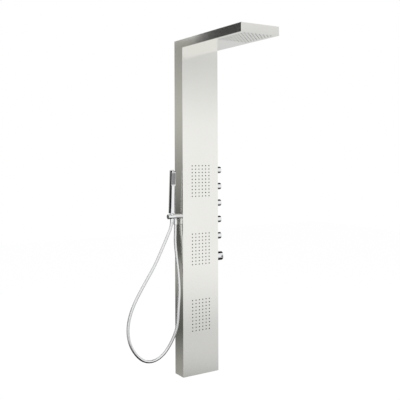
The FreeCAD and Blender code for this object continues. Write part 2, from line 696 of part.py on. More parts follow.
def thermostat():
    """Cartridge, stop ring, ring nut and spindle of the thermostat."""
    body = new_body("thermostatic_cartridge", "thermo_start", "-valve_depth", mixer_z, TO_RIGHT)
    turned(body, [
        ("0", "0"), ("mixer_bore - 0.05", "0"), ("mixer_bore - 0.05", "thread_end - thermo_start"),
        ("thermo_lip", "thread_end - thermo_start"), ("thermo_lip", "thermo_end - thermo_start"),
        ("thermo_spindle_bore", "thermo_end - thermo_start"),
        ("thermo_spindle_bore", "thermo_spindle_start - 0.5 - thermo_start"),
        ("0", "thermo_spindle_start - 0.5 - thermo_start")])
    keep(body, "thermostatic_cartridge")
    keep(ring("temperature_stop_ring", "stop_radius", "thermo_spindle + 1", "thermo_end", "stop_end",
              "mixer_height"), "temperature_stop_ring")
    keep(ring("mixer_ring_nut", "mixer_ring_radius", "mixer_neck + 0.05", outside_right, "thread_end",
              "mixer_height"), "mixer_ring_nut")
    keep(rod("thermostat_spindle", "thermo_spindle", "thermo_spindle_end - thermo_spindle_start",
             "thermo_spindle_start", "-valve_depth", mixer_z, TO_RIGHT), "thermostat_spindle")


def thermostat_knob():
    """The larger knob, with a room near its far end for the safety button and the end cap over it."""
    body = new_body("thermostat_knob", "knob_start", "-valve_depth", mixer_z, TO_RIGHT)
    spindle_top = "thermo_spindle_end - knob_start"
    turned(body, [
        ("thermo_hollow", "0"), ("thermo_knob_radius", "0"), ("thermo_knob_radius", "thermo_knob_length"),
        ("thermo_hollow", "thermo_knob_length"), ("thermo_hollow", "button_room"),
        ("hub_radius", "button_room"), ("hub_radius", "hub_end"), ("0", "hub_end"), ("0", spindle_top),
        ("thermo_spindle_bore", spindle_top), ("thermo_spindle_bore", "thermo_hollow_depth"),
        ("thermo_hollow", "thermo_hollow_depth")])
    soften(body, "knob_edge", rim(SIZES["thermo_knob_radius"], SIZES["thermo_knob_length"]))
    hole = body.newObject("PartDesign::Pocket", body.Name + "_button_hole")
    hole.Profile = circles(body, "XZ_Plane", "button_radius + button_clearance", [("0", "button_along")],
                           "hub_radius + 1")
    hole.Reversed = True
    hole.setExpression("Length", cells("thermo_knob_radius"))
    keep(body, "thermostat_knob")


def thermostat_end_cap():
    cap = new_body("thermostat_end_cap", "knob_start", "-valve_depth", mixer_z, TO_RIGHT)
    far = "thermo_knob_length + thermo_cap_length"
    turned(cap, [
        ("0", "hub_end"), ("thermo_hollow - 0.05", "hub_end"),
        ("thermo_hollow - 0.05", "thermo_knob_length"), ("thermo_cap_radius", "thermo_knob_length"),
        ("thermo_cap_radius", far), ("0", far)])
    soften(cap, "knob_edge / 2", rim(SIZES["thermo_cap_radius"],
                                     SIZES["thermo_knob_length"] + SIZES["thermo_cap_length"]))
    keep(cap, "thermostat_end_cap")


def safety_button():
    """The button in the knob's wall, kept in by its flange and pushed out by a spring on the hub."""
    along = "knob_start + button_along"
    button = new_body("safety_button", along, "-valve_depth", mixer_z, TO_FRONT)
    turned(button, [
        ("0", "button_inner"), ("button_flange", "button_inner"), ("button_flange", "button_flange_end"),
        ("button_radius", "button_flange_end"), ("button_radius", "button_outer - 1"),
        ("button_radius - 1", "button_outer"), ("0", "button_outer")])
    keep(button, "safety_button")
    where = (along, "-valve_depth - hub_radius", mixer_z, TO_FRONT)
    outside = rod("spring_outside", "spring_radius", "button_inner - hub_radius", *where)
    inside = rod("spring_inside", "spring_radius - spring_wire", "button_inner - hub_radius", *where)
    keep(cut("button_spring", outside, [inside]), "button_spring")


# Outlet barrel and hand shower

barrel_z = above_foot("barrel_height")


def on_hand_axis(along):
    """The point at a distance above the barrel's axis on the hand shower's own leaning axis."""
    return ("hand_across", "-barrel_depth - (%s) * sin(hand_lean * 1 deg)" % along,
            above_foot("barrel_height + (%s) * cos(hand_lean * 1 deg)" % along))


def outlet_barrel():
    """One barrel that feeds the hose and holds the hand shower in a tapered cross hole."""
    def along(label, radius, start, end):
        return rod(label, radius, "%s - (%s)" % (start, end), start, "-barrel_depth", barrel_z, TO_LEFT)

    tail = "stem_end + spigot_length"
    under = ("outlet_across", "-barrel_depth", barrel_z, DOWN)
    solids = [along("barrel", "barrel_radius", "-column_width / 2", "barrel_end + barrel_cap"),
              along("stem", "stem_radius", "stem_end", "-column_width / 2"),
              along("stem_spigot", "spigot_radius", tail, "stem_end"),
              rod("outlet", "outlet_radius", "-outlet_low", *under)]
    cone = primitive("Cone", "holder_cone", Radius1="cone_low", Radius2="cone_top", Height="2 * cone_reach")
    place(cone, *on_hand_axis("-cone_reach"), turn=LEAN)
    pin_hole = along("pin_hole", "cap_pin", "barrel_end + barrel_cap + cap_pin_length",
                     "barrel_end + barrel_cap")
    bores = [along("water_bore", "spigot_bore", tail, "outlet_across"),
             rod("outlet_water_bore", "outlet_bore", "-outlet_low", *under), pin_hole, cone]
    return keep(cut("outlet_barrel", fused("barrel_solid", solids), bores), "outlet_barrel")


def barrel_end_cap():
    cap = new_body("barrel_end_cap", "barrel_end + barrel_cap", "-barrel_depth", barrel_z, TO_LEFT)
    turned(cap, [
        ("0", "-cap_pin_length"), ("cap_pin - 0.05", "-cap_pin_length"), ("cap_pin - 0.05", "0"),
        ("barrel_radius", "0"), ("barrel_radius", "barrel_cap / 2"),
        ("barrel_radius - barrel_cap / 2", "barrel_cap"), ("0", "barrel_cap")])
    return keep(cap, "barrel_end_cap")


def outlet_lock_nut():
    hexagon = primitive("Prism", "lock_hexagon", Circumradius="lock_nut_circumradius",
                        Height="lock_nut_length")
    hexagon.Polygon = 6
    lock_nut = cut("outlet_lock_nut", hexagon, [rod("lock_hole", "stem_radius + 0.05", "lock_nut_length")])
    place(lock_nut, "steel - column_width / 2", "-barrel_depth", barrel_z, TO_RIGHT)
    return keep(lock_nut, "outlet_lock_nut")


def outlet_hose_nut():
    body = new_body("outlet_hose_nut", "outlet_across", "-barrel_depth", barrel_z)
    turned(body, [
        ("hose_radius + hose_fit", "hose_nut_low"), ("hose_nut_radius - hose_nut_edge", "hose_nut_low"),
        ("hose_nut_radius", "hose_nut_low + hose_nut_edge"),
        ("hose_nut_radius", "hose_nut_high - hose_nut_edge"),
        ("hose_nut_radius - hose_nut_edge", "hose_nut_high"), ("outlet_radius + 0.05", "hose_nut_high"),
        ("outlet_radius + 0.05", "outlet_low"), ("hose_radius + hose_fit", "outlet_low")])
    return keep(body, "outlet_hose_nut")


def hand_body(label):
    return new_body(label, *on_hand_axis("0"), turn=LEAN)


def upright_rectangle(body, width, length, middle, offset):
    """A rectangle facing the body's -Y, centred across and about the given height."""
    half_width, half_length = "(%s) / 2" % width, "(%s) / 2" % length
    low, high = "%s - %s" % (middle, half_length), "%s + %s" % (middle, half_length)
    corners = [("-" + half_width, low), (half_width, low), (half_width, high), ("-" + half_width, high)]
    return outline(body, "XZ_Plane", corners, offset)


def cone_nut():
    body = hand_body("hose_cone_nut")
    turned(body, [
        ("hose_radius + hose_fit", "cone_nut_low"), ("cone_nut_foot", "cone_nut_low"),
        ("cone_nut_top", "cone_nut_high"), ("hand_thread + 0.05", "cone_nut_high"),
        ("hand_thread + 0.05", "hose_seat"), ("hose_radius + hose_fit", "hose_seat")])
    return keep(body, "hose_cone_nut")


def hand_shower_body():
    """The stick, a little thicker at its foot, with its waterway and its flat for the spray plate."""
    body = hand_body("hand_shower_body")
    turned(body, [
        ("hand_neck_bore", "hose_seat"), ("hand_thread", "hose_seat"), ("hand_thread", "hand_low"),
        ("hand_foot_radius - hand_edge", "hand_low"), ("hand_foot_radius", "hand_low + hand_edge"),
        ("hand_radius", "hand_high"), ("hand_bore", "hand_high"), ("hand_bore", "hand_neck_end"),
        ("hand_neck_bore", "hand_neck_end")])
    spread = "(hand_radius + 1 - flat_offset)"
    pocket_through(body, outline(body, "YZ_Plane", [
        ("-flat_offset", "flat_low"), ("-flat_offset", "flat_high"),
        ("-hand_radius - 1", "flat_high + " + spread), ("-hand_radius - 1", "flat_low - " + spread)]))
    for width, length, depth in (
            ("plate_width + plate_gap", "plate_length + plate_gap", "plate_thickness - plate_proud"),
            ("slot_width", "slot_length", "flat_offset - hand_bore + 2")):
        recess = body.newObject("PartDesign::Pocket", body.Name + "_recess")
        recess.Profile = upright_rectangle(body, width, length, "(flat_low + flat_high) / 2", "flat_offset")
        recess.setExpression("Length", cells(depth))
    return keep(body, "hand_shower_body")


def spray_plate():
    plate = hand_body("spray_plate")
    middle = "(flat_low + flat_high) / 2"
    pad(plate, upright_rectangle(plate, "plate_width", "plate_length", middle, "flat_offset + plate_proud"),
        "plate_thickness", backwards=True)
    first = ("-spray_pitch_across * (spray_columns - 1) / 2",
             middle + " - spray_pitch_up * (spray_rows - 1) / 2")
    hole = circles(plate, "XZ_Plane", "spray_hole", [first])
    grid(plate, pocket_through(plate, hole), hole, "spray_columns", "spray_rows",
         "spray_pitch_across", "spray_pitch_up")
    return keep(plate, "spray_plate")


def hand_shower_cap():
    cap = hand_body("hand_shower_cap")
    top = "hand_high + hand_cap_height"
    turned(cap, [
        ("0", "hand_high - hand_cap_plug"), ("hand_bore - 0.05", "hand_high - hand_cap_plug"),
        ("hand_bore - 0.05", "hand_high"), ("hand_radius", "hand_high"),
        ("hand_radius", top + " - hand_edge"), ("hand_radius - hand_edge", top), ("0", top)])
    return keep(cap, "hand_shower_cap")


# Hoses


def size(name):
    return float(getattr(sheet, name))


def rounded_path(points, radius=None):
    """Straight runs joined by tangent arcs; without a radius each arc takes its share of the shorter run."""
    points = [Vector(*p) for p in points]
    edges, start, tightest = [], points[0], math.inf
    for before, corner, after in zip(points, points[1:], points[2:]):
        back, on = (before - corner).normalize(), (after - corner).normalize()
        half_turn = (math.pi - back.getAngle(on)) / 2
        shorter = min((before - corner).Length, (after - corner).Length)
        reach = radius * math.tan(half_turn) if radius else size("hose_arc_share") * shorter
        bend = reach / math.tan(half_turn)
        tightest = min(tightest, bend)
        into, out = corner + back * reach, corner + on * reach
        middle = corner + (back + on).normalize() * (bend / math.cos(half_turn) - bend)
        edges.append(Part.LineSegment(start, into).toShape())
        edges.append(Part.Arc(into, middle, out).toShape())
        start = out
    edges.append(Part.LineSegment(start, points[-1]).toShape())
    return Part.Wire(edges), tightest


def swept(wire, radius):
    start = wire.Edges[0]
    along = start.tangentAt(start.FirstParameter)
    section = Part.Wire([Part.makeCircle(radius, start.valueAt(start.FirstParameter), along)])
    return wire.makePipeShell([section], True, False)


def hose(label, points, outer, bore, bend=None):
    """A hose swept along its route, as one tube of even section."""
    wire, tightest = rounded_path(points, bend)
    tube = swept(wire, outer).cut(swept(wire, bore))
    even = math.pi * (outer ** 2 - bore ** 2) * wire.Length
    if abs(tube.Volume - even) > 0.01 * even:
        raise RuntimeError("%s is not an even tube" % label)
    print("%s: length %.0f, tightest bend %.0f" % (label, wire.Length, tightest))
    thing = doc.addObject("Part::Feature", label)
    thing.Shape = tube
    return keep(thing, label)


def inner_hoses():
    """The five hoses behind the panel, which all lie in the valves' own plane, and their ferrules."""
    foot, y = size("column_foot"), -size("valve_depth")
    left, reach = size("manifold_left"), size("elbow_reach")
    drop, rain_x = size("tube_drop"), size("rain_port_across")
    port, low_port = size("port_across") + reach, size("lower_port_across") - reach

    def at(name):
        return foot + size(name + "_height")

    rain_z = at("column") - size("arm_thickness") + size("steel") + size("mat_thickness") \
        + size("rain_inlet_rise")
    rain_y = size("rain_tip_margin") + size("rain_pitch") * (size("rain_rows") - 1) / 2 - size("arm_reach") \
        + size("rain_half_length")
    stem = (size("stem_end"), -size("barrel_depth"), at("barrel"))
    routes = {
        "rain": [(left, y, at("rain_valve")), (rain_x, y, at("rain_valve")), (rain_x, y, rain_z),
                 (rain_x, rain_y, rain_z)],
        "upper_jet": [(left, y, at("upper_valve")), (port, y, at("upper_valve"))],
        "middle_jet": [(left, y, at("middle_valve")), (port, y, at("middle_valve"))],
        "hand": [(left, y, at("hand_valve")), (0, y, at("hand_valve")),
                 (size("tube_fall"), stem[1], stem[2]), stem],
        "lower_jet": [(left, y, at("lower_valve")), (drop, y, at("lower_valve")), (drop, y, at("lower_port")),
                      (low_port, y, at("lower_port"))],
    }
    ferrules = []
    for name, points in routes.items():
        hose(name + "_hose", points, size("tube_radius"), size("tube_bore"), size("tube_bend"))
        for end, inward in ((points[0], points[1]), (points[-1], points[-2])):
            along = (Vector(*inward) - Vector(*end)).normalize()
            start = Vector(*end) + along
            outside = Part.makeCylinder(size("ferrule_radius"), size("ferrule_length"), start, along)
            inside = Part.makeCylinder(size("tube_radius") + 0.05, size("ferrule_length"), start, along)
            ferrules.append(outside.cut(inside))
    thing = doc.addObject("Part::Feature", "hose_ferrules")
    thing.Shape = Part.makeCompound(ferrules)
    return keep(thing, "hose_ferrules")


# The free hose's route from the barrel's outlet round to the hand shower's nut.
HOSE_ROUTE = [
    (-115, -30, -669), (-115, -30, -708), (-120, -35, -762), (-117, -46, -841), (-111, -62, -916),
    (-112, -73, -991), (-122, -76, -1075), (-128, -70, -1157), (-157, -60, -1231), (-201, -53, -1288),
    (-261, -48, -1309), (-318, -44, -1284), (-368, -40, -1207), (-373, -38, -1116), (-340, -36, -1030),
    (-285, -35, -945), (-229, -34, -864), (-189, -32, -789), (-154, -31, -728), (-134.5, -28.08, -684),
    (-134.5, -30.08, -638.2),
]


def free_hose():
    return hose("shower_hose", HOSE_ROUTE, size("hose_radius"), size("hose_bore"))


for maker in (front_panel, arm_top_cover, bottom_cap, upper_wall_bracket, hanger_rail, lower_wall_bracket,
              cap_screws):
    maker()
valve_holes = [("-valve_depth", name + "_valve_height") for name in VALVES]
side_panel("right_side_panel", 1, [("thread_radius + hole_gap", valve_holes),
                                   ("mixer_neck + hole_gap", [("-valve_depth", "mixer_height")])])
side_panel("left_side_panel", -1, [("stem_radius + hole_gap", [("-barrel_depth", "barrel_height")])])
jet_studs, jet_nuts = jet_modules()
rain_studs, rain_nuts = rain_head()
keep(group("chamber_studs", jet_studs + rain_studs), "chamber_studs")
keep(group("chamber_nuts", jet_nuts + rain_nuts), "chamber_nuts")
for maker in (jet_elbows, manifold, valve_parts, mixer_body, check_valves, riser_pipe, thermostat,
              thermostat_knob, thermostat_end_cap, safety_button, outlet_barrel, barrel_end_cap,
              outlet_lock_nut, outlet_hose_nut, cone_nut, hand_shower_body, spray_plate, hand_shower_cap,
              inner_hoses, free_hose):
    maker()

doc.recompute()
for thing in doc.Objects:
    if "Invalid" in thing.State or "Error" in thing.State:
        raise RuntimeError("%s (%s) did not compute" % (thing.Name, thing.Label))
for node in nodes:
    if node.Shape.isNull() or not node.Shape.isValid():
        raise RuntimeError("%s has no valid shape" % node.Label)
    node.Shape.exportStep("parts/%s.step" % node.Label)
print("%d pieces" % len(nodes))
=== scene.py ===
import json
import math

import bpy
from mathutils import Matrix, Vector


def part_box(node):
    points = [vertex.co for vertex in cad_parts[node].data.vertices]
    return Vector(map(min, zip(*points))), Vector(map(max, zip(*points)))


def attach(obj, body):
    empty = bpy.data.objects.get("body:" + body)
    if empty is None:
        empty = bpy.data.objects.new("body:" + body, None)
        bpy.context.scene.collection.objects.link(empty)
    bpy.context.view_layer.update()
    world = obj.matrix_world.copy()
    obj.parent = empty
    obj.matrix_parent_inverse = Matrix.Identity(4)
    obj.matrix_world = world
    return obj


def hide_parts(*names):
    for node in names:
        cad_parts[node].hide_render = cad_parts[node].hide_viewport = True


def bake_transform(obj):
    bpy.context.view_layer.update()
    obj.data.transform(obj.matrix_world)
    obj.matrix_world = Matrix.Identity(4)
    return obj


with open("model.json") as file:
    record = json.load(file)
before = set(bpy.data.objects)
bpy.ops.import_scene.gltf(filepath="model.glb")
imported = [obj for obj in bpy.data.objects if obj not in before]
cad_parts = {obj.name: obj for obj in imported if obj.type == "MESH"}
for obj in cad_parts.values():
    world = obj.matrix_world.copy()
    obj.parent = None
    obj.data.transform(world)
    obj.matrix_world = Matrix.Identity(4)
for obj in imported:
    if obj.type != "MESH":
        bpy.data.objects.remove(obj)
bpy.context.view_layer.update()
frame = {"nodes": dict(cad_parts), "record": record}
scene = bpy.context.scene
nodes = frame["nodes"]


# Camera: fitted to the casing's corners in the photograph.

PICTURE_WIDTH = 400
SENSOR_WIDTH = 36
FOCAL_PIXELS = 649.4
SHIFT_PIXELS = -45.54
CAMERA_PLACE = (-1.6718, -2.7123, -0.3449)
YAW = math.radians(32.32)
ROLL = math.radians(-0.19)

camera_data = bpy.data.cameras.new("camera")
camera_data.sensor_width = SENSOR_WIDTH
camera_data.lens = FOCAL_PIXELS / PICTURE_WIDTH * SENSOR_WIDTH
camera_data.shift_y = SHIFT_PIXELS / PICTURE_WIDTH
camera_data.clip_end = 60
camera = bpy.data.objects.new("camera", camera_data)
camera.matrix_world = (
    Matrix.Translation(CAMERA_PLACE)
    @ Matrix.Rotation(-YAW, 4, "Z")
    @ Matrix.Rotation(math.radians(90), 4, "X")
    @ Matrix.Rotation(ROLL, 4, "Z")
)
scene.collection.objects.link(camera)
scene.camera = camera


# Free hose. It is made as two lengths that meet at the loop's lowest stretch: one hangs from the
# outlet and the other runs up to the hand shower.

ROUTE = [
    (-0.115, -0.030, -0.669), (-0.115, -0.030, -0.708), (-0.120, -0.035, -0.762),
    (-0.117, -0.046, -0.841), (-0.114, -0.058, -0.916), (-0.116, -0.068, -0.991),
    (-0.125, -0.072, -1.075), (-0.128, -0.070, -1.157), (-0.157, -0.060, -1.231),
    (-0.201, -0.053, -1.288), (-0.261, -0.048, -1.309), (-0.318, -0.044, -1.284),
    (-0.368, -0.040, -1.207), (-0.373, -0.038, -1.116), (-0.340, -0.036, -1.030),
    (-0.285, -0.035, -0.945), (-0.229, -0.034, -0.864), (-0.189, -0.032, -0.789),
    (-0.158, -0.031, -0.728), (-0.1345, -0.02808, -0.684), (-0.1345, -0.03009, -0.638),
]
LOWEST = 10                                # the two lengths meet halfway from this point to the next
HOSE_RADIUS = 0.007
RIB_PITCH = 0.0026
HOSE_PROFILE = [(0.0, HOSE_RADIUS * 0.978), (0.08, HOSE_RADIUS * 0.992), (0.16, HOSE_RADIUS),
                (0.84, HOSE_RADIUS), (0.92, HOSE_RADIUS * 0.992)]


def spline_line(control):
    """The points along a smooth spline with the given control points."""
    curve = bpy.data.curves.new("route", "CURVE")
    curve.dimensions = "3D"
    spline = curve.splines.new("NURBS")
    spline.points.add(len(control) - 1)
    for point, place in zip(spline.points, control):
        point.co = (*place, 1)
    spline.order_u = 3
    spline.use_endpoint_u = True
    spline.resolution_u = 24
    route = bpy.data.objects.new("route", curve)
    scene.collection.objects.link(route)
    line = bpy.data.meshes.new_from_object(route)
    points = [v.co.copy() for v in line.vertices]
    bpy.data.objects.remove(route)
    bpy.data.meshes.remove(line)
    return points


def evenly(points, step):
    """Points at even distances along a line, its ends included, and the line's length."""
    lengths = [0.0]
    for a, b in zip(points, points[1:]):
        lengths.append(lengths[-1] + (b - a).length)
    count = max(2, round(lengths[-1] / step))
    out, i = [], 0
    for n in range(count + 1):
        want = lengths[-1] * n / count
        while i < len(points) - 2 and lengths[i + 1] < want:
            i += 1
        share = (want - lengths[i]) / (lengths[i + 1] - lengths[i])
        out.append(points[i].lerp(points[i + 1], share))
    return out, lengths[-1]


def frames_along(points):
    """A point, a side direction and an up direction for each point, without twist."""
    out, side = [], None
    for i, point in enumerate(points):
        along = (points[min(i + 1, len(points) - 1)] - points[max(i - 1, 0)]).normalized()
        if side is None:
            side = along.orthogonal().normalized()
        side = (side - along * side.dot(along)).normalized()
        out.append((point, side, along.cross(side)))
    return out


def around_circle(count):
    """The cosine and sine of evenly spaced turns."""
    turns = [2 * math.pi * k / count for k in range(count)]
    return [(math.cos(turn), math.sin(turn)) for turn in turns]


def mesh_piece(name, verts, faces, material, smooth=True):
    mesh = bpy.data.meshes.new(name)
    mesh.from_pydata(verts, [], faces)
    mesh.update()
    mesh.polygons.foreach_set("use_smooth", [smooth] * len(mesh.polygons))
    mesh.materials.append(material)
    piece = bpy.data.objects.new(name, mesh)
    scene.collection.objects.link(piece)
    return piece


def ribbed_tube(name, points, material, profile, pitch, around=20):
    """A closed tube along points whose radius follows a repeated (share of pitch, radius) profile."""
    line, _ = evenly(points, pitch)
    places = frames_along(line)
    rows = []
    for here, there in zip(places, places[1:]):
        for share, radius in profile:
            rows.append((here[0].lerp(there[0], share), here[1], here[2], radius))
    rows.append((*places[-1], profile[0][1]))
    circle = around_circle(around)
    verts, faces = [], []
    for centre, side, up, radius in rows:
        for cosine, sine in circle:
            verts.append(centre + radius * (cosine * side + sine * up))
    for i in range(len(rows) - 1):
        for k in range(around):
            a, b = i * around + k, i * around + (k + 1) % around
            faces.append((a, b, b + around, a + around))
    faces.append(tuple(range(around))[::-1])
    faces.append(tuple(range(len(verts) - around, len(verts))))
    return mesh_piece(name, verts, faces, material)


# Materials

NOISE_RANGE = (0.3, 0.7)                   # most of a noise texture's values lie in it
TEXTURE_DEPTH = 0.0002                     # metres, for the fine grain of every material
WAVE_DEPTH = 0.01
WAVE_SCALE = 3.2
WAVE_STRETCH = (1, 1, 0.35)
MOTTLE_SCALE = 30


def new_material(name):
    material = bpy.data.materials.new(name)
    material.use_nodes = True
    tree = material.node_tree
    return material, tree, tree.nodes["Principled BSDF"]


def empty_material(name):
    material = bpy.data.materials.new(name)
    material.use_nodes = True
    tree = material.node_tree
    tree.nodes.clear()
    return material, tree


def add(tree, kind, values=None, **attributes):
    node = tree.nodes.new(kind)
    for key, value in attributes.items():
        setattr(node, key, value)
    for key, value in (values or {}).items():
        node.inputs[key].default_value = value
    return node


def place_in(tree, stretch=(1, 1, 1)):
    """Object coordinates, stretched: a small number draws the pattern out along that axis."""
    coordinates = add(tree, "ShaderNodeTexCoord")
    mapping = add(tree, "ShaderNodeMapping", {"Scale": stretch})
    tree.links.new(coordinates.outputs["Object"], mapping.inputs["Vector"])
    return mapping.outputs["Vector"]


def noise(tree, vector, scale, detail):
    node = add(tree, "ShaderNodeTexNoise", {"Scale": scale, "Detail": detail, "Roughness": 0.5})
    tree.links.new(vector, node.inputs["Vector"])
    return node.outputs["Fac"]


def spread(tree, value, low, high, source=NOISE_RANGE):
    """Maps a value from its source range to another."""
    node = add(tree, "ShaderNodeMapRange", {"From Min": source[0], "From Max": source[1],
                                            "To Min": low, "To Max": high})
    tree.links.new(value, node.inputs["Value"])
    return node.outputs["Result"]


def tint(tree, value, low, high):
    """Mixes two colours by a noise value."""
    ramp = add(tree, "ShaderNodeValToRGB")
    for element, position, color in zip(ramp.color_ramp.elements, NOISE_RANGE, (low, high)):
        element.position = position
        element.color = (*color, 1)
    tree.links.new(value, ramp.inputs["Fac"])
    return ramp.outputs["Color"]


def bump(tree, shader, layers):
    """Stacks (height, strength, distance) bumps and feeds the shader's normal."""
    normal = None
    for height, strength, distance in layers:
        node = add(tree, "ShaderNodeBump", {"Strength": strength, "Distance": distance})
        tree.links.new(height, node.inputs["Height"])
        if normal:
            tree.links.new(normal, node.inputs["Normal"])
        normal = node.outputs["Normal"]
    tree.links.new(normal, shader.inputs["Normal"])


def metal(name, low, high, rough, grain=(1, 1, 1), grain_scale=900, grain_bump=0.02, wave=0.0,
          cloud_scale=14):
    """A metal with a cloudy tint, smudged gloss, fine grain and, where asked, a slight waviness."""
    material, tree, shader = new_material(name)
    shader.inputs["Metallic"].default_value = 1
    even, drawn = place_in(tree), place_in(tree, grain)
    cloud = noise(tree, even, cloud_scale, 4)
    fine = noise(tree, drawn, grain_scale, 2)
    tree.links.new(tint(tree, cloud, low, high), shader.inputs["Base Color"])
    half_fine = add(tree, "ShaderNodeMath", {1: 0.5}, operation="MULTIPLY_ADD")
    half_cloud = add(tree, "ShaderNodeMath", {1: 0.5}, operation="MULTIPLY")
    tree.links.new(fine, half_fine.inputs[0])
    tree.links.new(cloud, half_cloud.inputs[0])
    tree.links.new(half_cloud.outputs[0], half_fine.inputs[2])
    tree.links.new(spread(tree, half_fine.outputs[0], *rough), shader.inputs["Roughness"])
    layers = [(fine, grain_bump, TEXTURE_DEPTH)]
    if wave:
        layers.append((noise(tree, place_in(tree, WAVE_STRETCH), WAVE_SCALE, 1), wave, WAVE_DEPTH))
    bump(tree, shader, layers)
    return material


def plastic(name, low, high, rough, grain_scale=700, grain_bump=0.06, specular=0.5):
    """A moulded plastic or rubber with slight mottling and a fine texture."""
    material, tree, shader = new_material(name)
    even = place_in(tree)
    cloud = noise(tree, even, MOTTLE_SCALE, 4)
    fine = noise(tree, even, grain_scale, 3)
    tree.links.new(tint(tree, cloud, low, high), shader.inputs["Base Color"])
    tree.links.new(spread(tree, cloud, *rough), shader.inputs["Roughness"])
    shader.inputs["Specular IOR Level"].default_value = specular
    bump(tree, shader, [(fine, grain_bump, TEXTURE_DEPTH)])
    return material


def braided(name):
    """Black rubber hose under a fine woven steel braid."""
    material, tree, shader = new_material(name)
    even = place_in(tree)
    weave = add(tree, "ShaderNodeTexWave", {"Scale": 260, "Distortion": 1.5, "Detail": 1},
                bands_direction="DIAGONAL")
    tree.links.new(even, weave.inputs["Vector"])
    cross = add(tree, "ShaderNodeTexVoronoi", {"Scale": 520})
    tree.links.new(even, cross.inputs["Vector"])
    tree.links.new(tint(tree, weave.outputs["Fac"], (0.05, 0.05, 0.055), (0.34, 0.34, 0.35)),
                   shader.inputs["Base Color"])
    tree.links.new(spread(tree, cross.outputs["Distance"], 0.35, 0.6), shader.inputs["Roughness"])
    shader.inputs["Metallic"].default_value = 0.6
    bump(tree, shader, [(weave.outputs["Fac"], 0.5, 2 * TEXTURE_DEPTH)])
    return material


PANEL_STEEL = metal("panel_steel", (0.83, 0.826, 0.79), (0.85, 0.846, 0.81), (0.11, 0.17),
                    grain=(1, 1, 0.02), grain_scale=1200, grain_bump=0.003, wave=0.012, cloud_scale=5)
BRACKET_STEEL = metal("bracket_steel", (0.50, 0.52, 0.54), (0.64, 0.65, 0.66), (0.30, 0.46),
                      cloud_scale=60)
# The jets' silicone is near black: its own dark tone together with painted shade of the nozzle holes.
DARK_SILICONE_AND_SHADE = plastic("silicone", (0.016, 0.018, 0.015), (0.026, 0.028, 0.024), (0.6, 0.75),
                   specular=0.15)
PALE_SILICONE = plastic("pale_silicone", (0.42, 0.44, 0.41), (0.50, 0.52, 0.49), (0.5, 0.65))
CHAMBER = plastic("chamber_plastic", (0.035, 0.036, 0.038), (0.055, 0.056, 0.058), (0.4, 0.6))
BRASS = metal("brass", (0.58, 0.42, 0.17), (0.70, 0.53, 0.25), (0.24, 0.42),
              grain=(0.05, 1, 1), grain_scale=700, grain_bump=0.06, cloud_scale=40)
CARTRIDGE = plastic("cartridge_plastic", (0.68, 0.67, 0.62), (0.76, 0.75, 0.70), (0.3, 0.45))
CHROME = metal("chrome", (0.84, 0.85, 0.86), (0.88, 0.885, 0.89), (0.04, 0.09),
               grain_bump=0.004, cloud_scale=30)
CAP_METAL = metal("cap_metal", (0.74, 0.74, 0.73), (0.80, 0.80, 0.79), (0.22, 0.32), grain_scale=500)
BUTTON = plastic("button_plastic", (0.018, 0.019, 0.021), (0.028, 0.029, 0.031), (0.18, 0.28),
                 grain_bump=0.02)
SPRING = metal("spring_steel", (0.46, 0.46, 0.47), (0.58, 0.58, 0.59), (0.25, 0.4))
SPRAY = plastic("spray_plastic", (0.20, 0.205, 0.21), (0.25, 0.255, 0.26), (0.35, 0.5),
                grain_scale=500, grain_bump=0.1)
RUBBER = braided("inner_rubber")
METAL_HOSE = metal("metal_hose", (0.78, 0.785, 0.79), (0.84, 0.845, 0.85), (0.10, 0.17),
                   grain_bump=0.01, cloud_scale=90)

BY_SLOT = {
    "panel_steel": PANEL_STEEL, "bracket_steel": BRACKET_STEEL, "silicone": DARK_SILICONE_AND_SHADE,
    "chamber_plastic": CHAMBER, "brass": BRASS, "cartridge_plastic": CARTRIDGE, "chrome": CHROME,
    "cap_metal": CAP_METAL, "button_plastic": BUTTON, "spring_steel": SPRING, "spray_plastic": SPRAY,
    "inner_rubber": RUBBER, "metal_hose": METAL_HOSE,
}
for entry in frame["record"]["subparts"]:
    for holder in nodes[entry["node"]].material_slots:
        holder.material = BY_SLOT[entry["material_slot"]]
nodes["rain_mat"].material_slots[0].material = PALE_SILICONE


# Hose pieces

meeting = tuple(Vector(ROUTE[LOWEST]).lerp(Vector(ROUTE[LOWEST + 1]), 0.5))
outlet_line = spline_line(ROUTE[:LOWEST + 1] + [meeting])
hand_line = spline_line([meeting] + ROUTE[LOWEST + 1:])
outlet_hose = ribbed_tube("hose_outlet_side", outlet_line, METAL_HOSE, HOSE_PROFILE, RIB_PITCH)
hand_hose = ribbed_tube("hose_hand_side", hand_line, METAL_HOSE, HOSE_PROFILE, RIB_PITCH)
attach(outlet_hose, "panel")
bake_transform(hand_hose)
for piece, line in ((outlet_hose, outlet_line), (hand_hose, hand_line)):
    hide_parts("shower_hose")
    round(evenly(line, RIB_PITCH)[1], 3)


# Button spring: a real coil in place of the plain sleeve.

WIRE = 0.0004                              # the wire's radius
COIL_TURNS = 3.5
COIL_STEPS = 140
WIRE_STEP = 0.0006

low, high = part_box("button_spring")
x, z, coil = (low[0] + high[0]) / 2, (low[2] + high[2]) / 2, (high[0] - low[0]) / 2 - WIRE
inner, outer = high[1] - WIRE, low[1] + WIRE
winding = []
for i in range(COIL_STEPS + 1):
    angle = 2 * math.pi * COIL_TURNS * i / COIL_STEPS
    y = inner + (outer - inner) * i / COIL_STEPS
    winding.append(Vector((x + coil * math.cos(angle), y, z + coil * math.sin(angle))))
spring = ribbed_tube("button_spring_coil", winding, SPRING, [(0.0, WIRE)], WIRE_STEP, around=10)
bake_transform(spring)
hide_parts("button_spring")
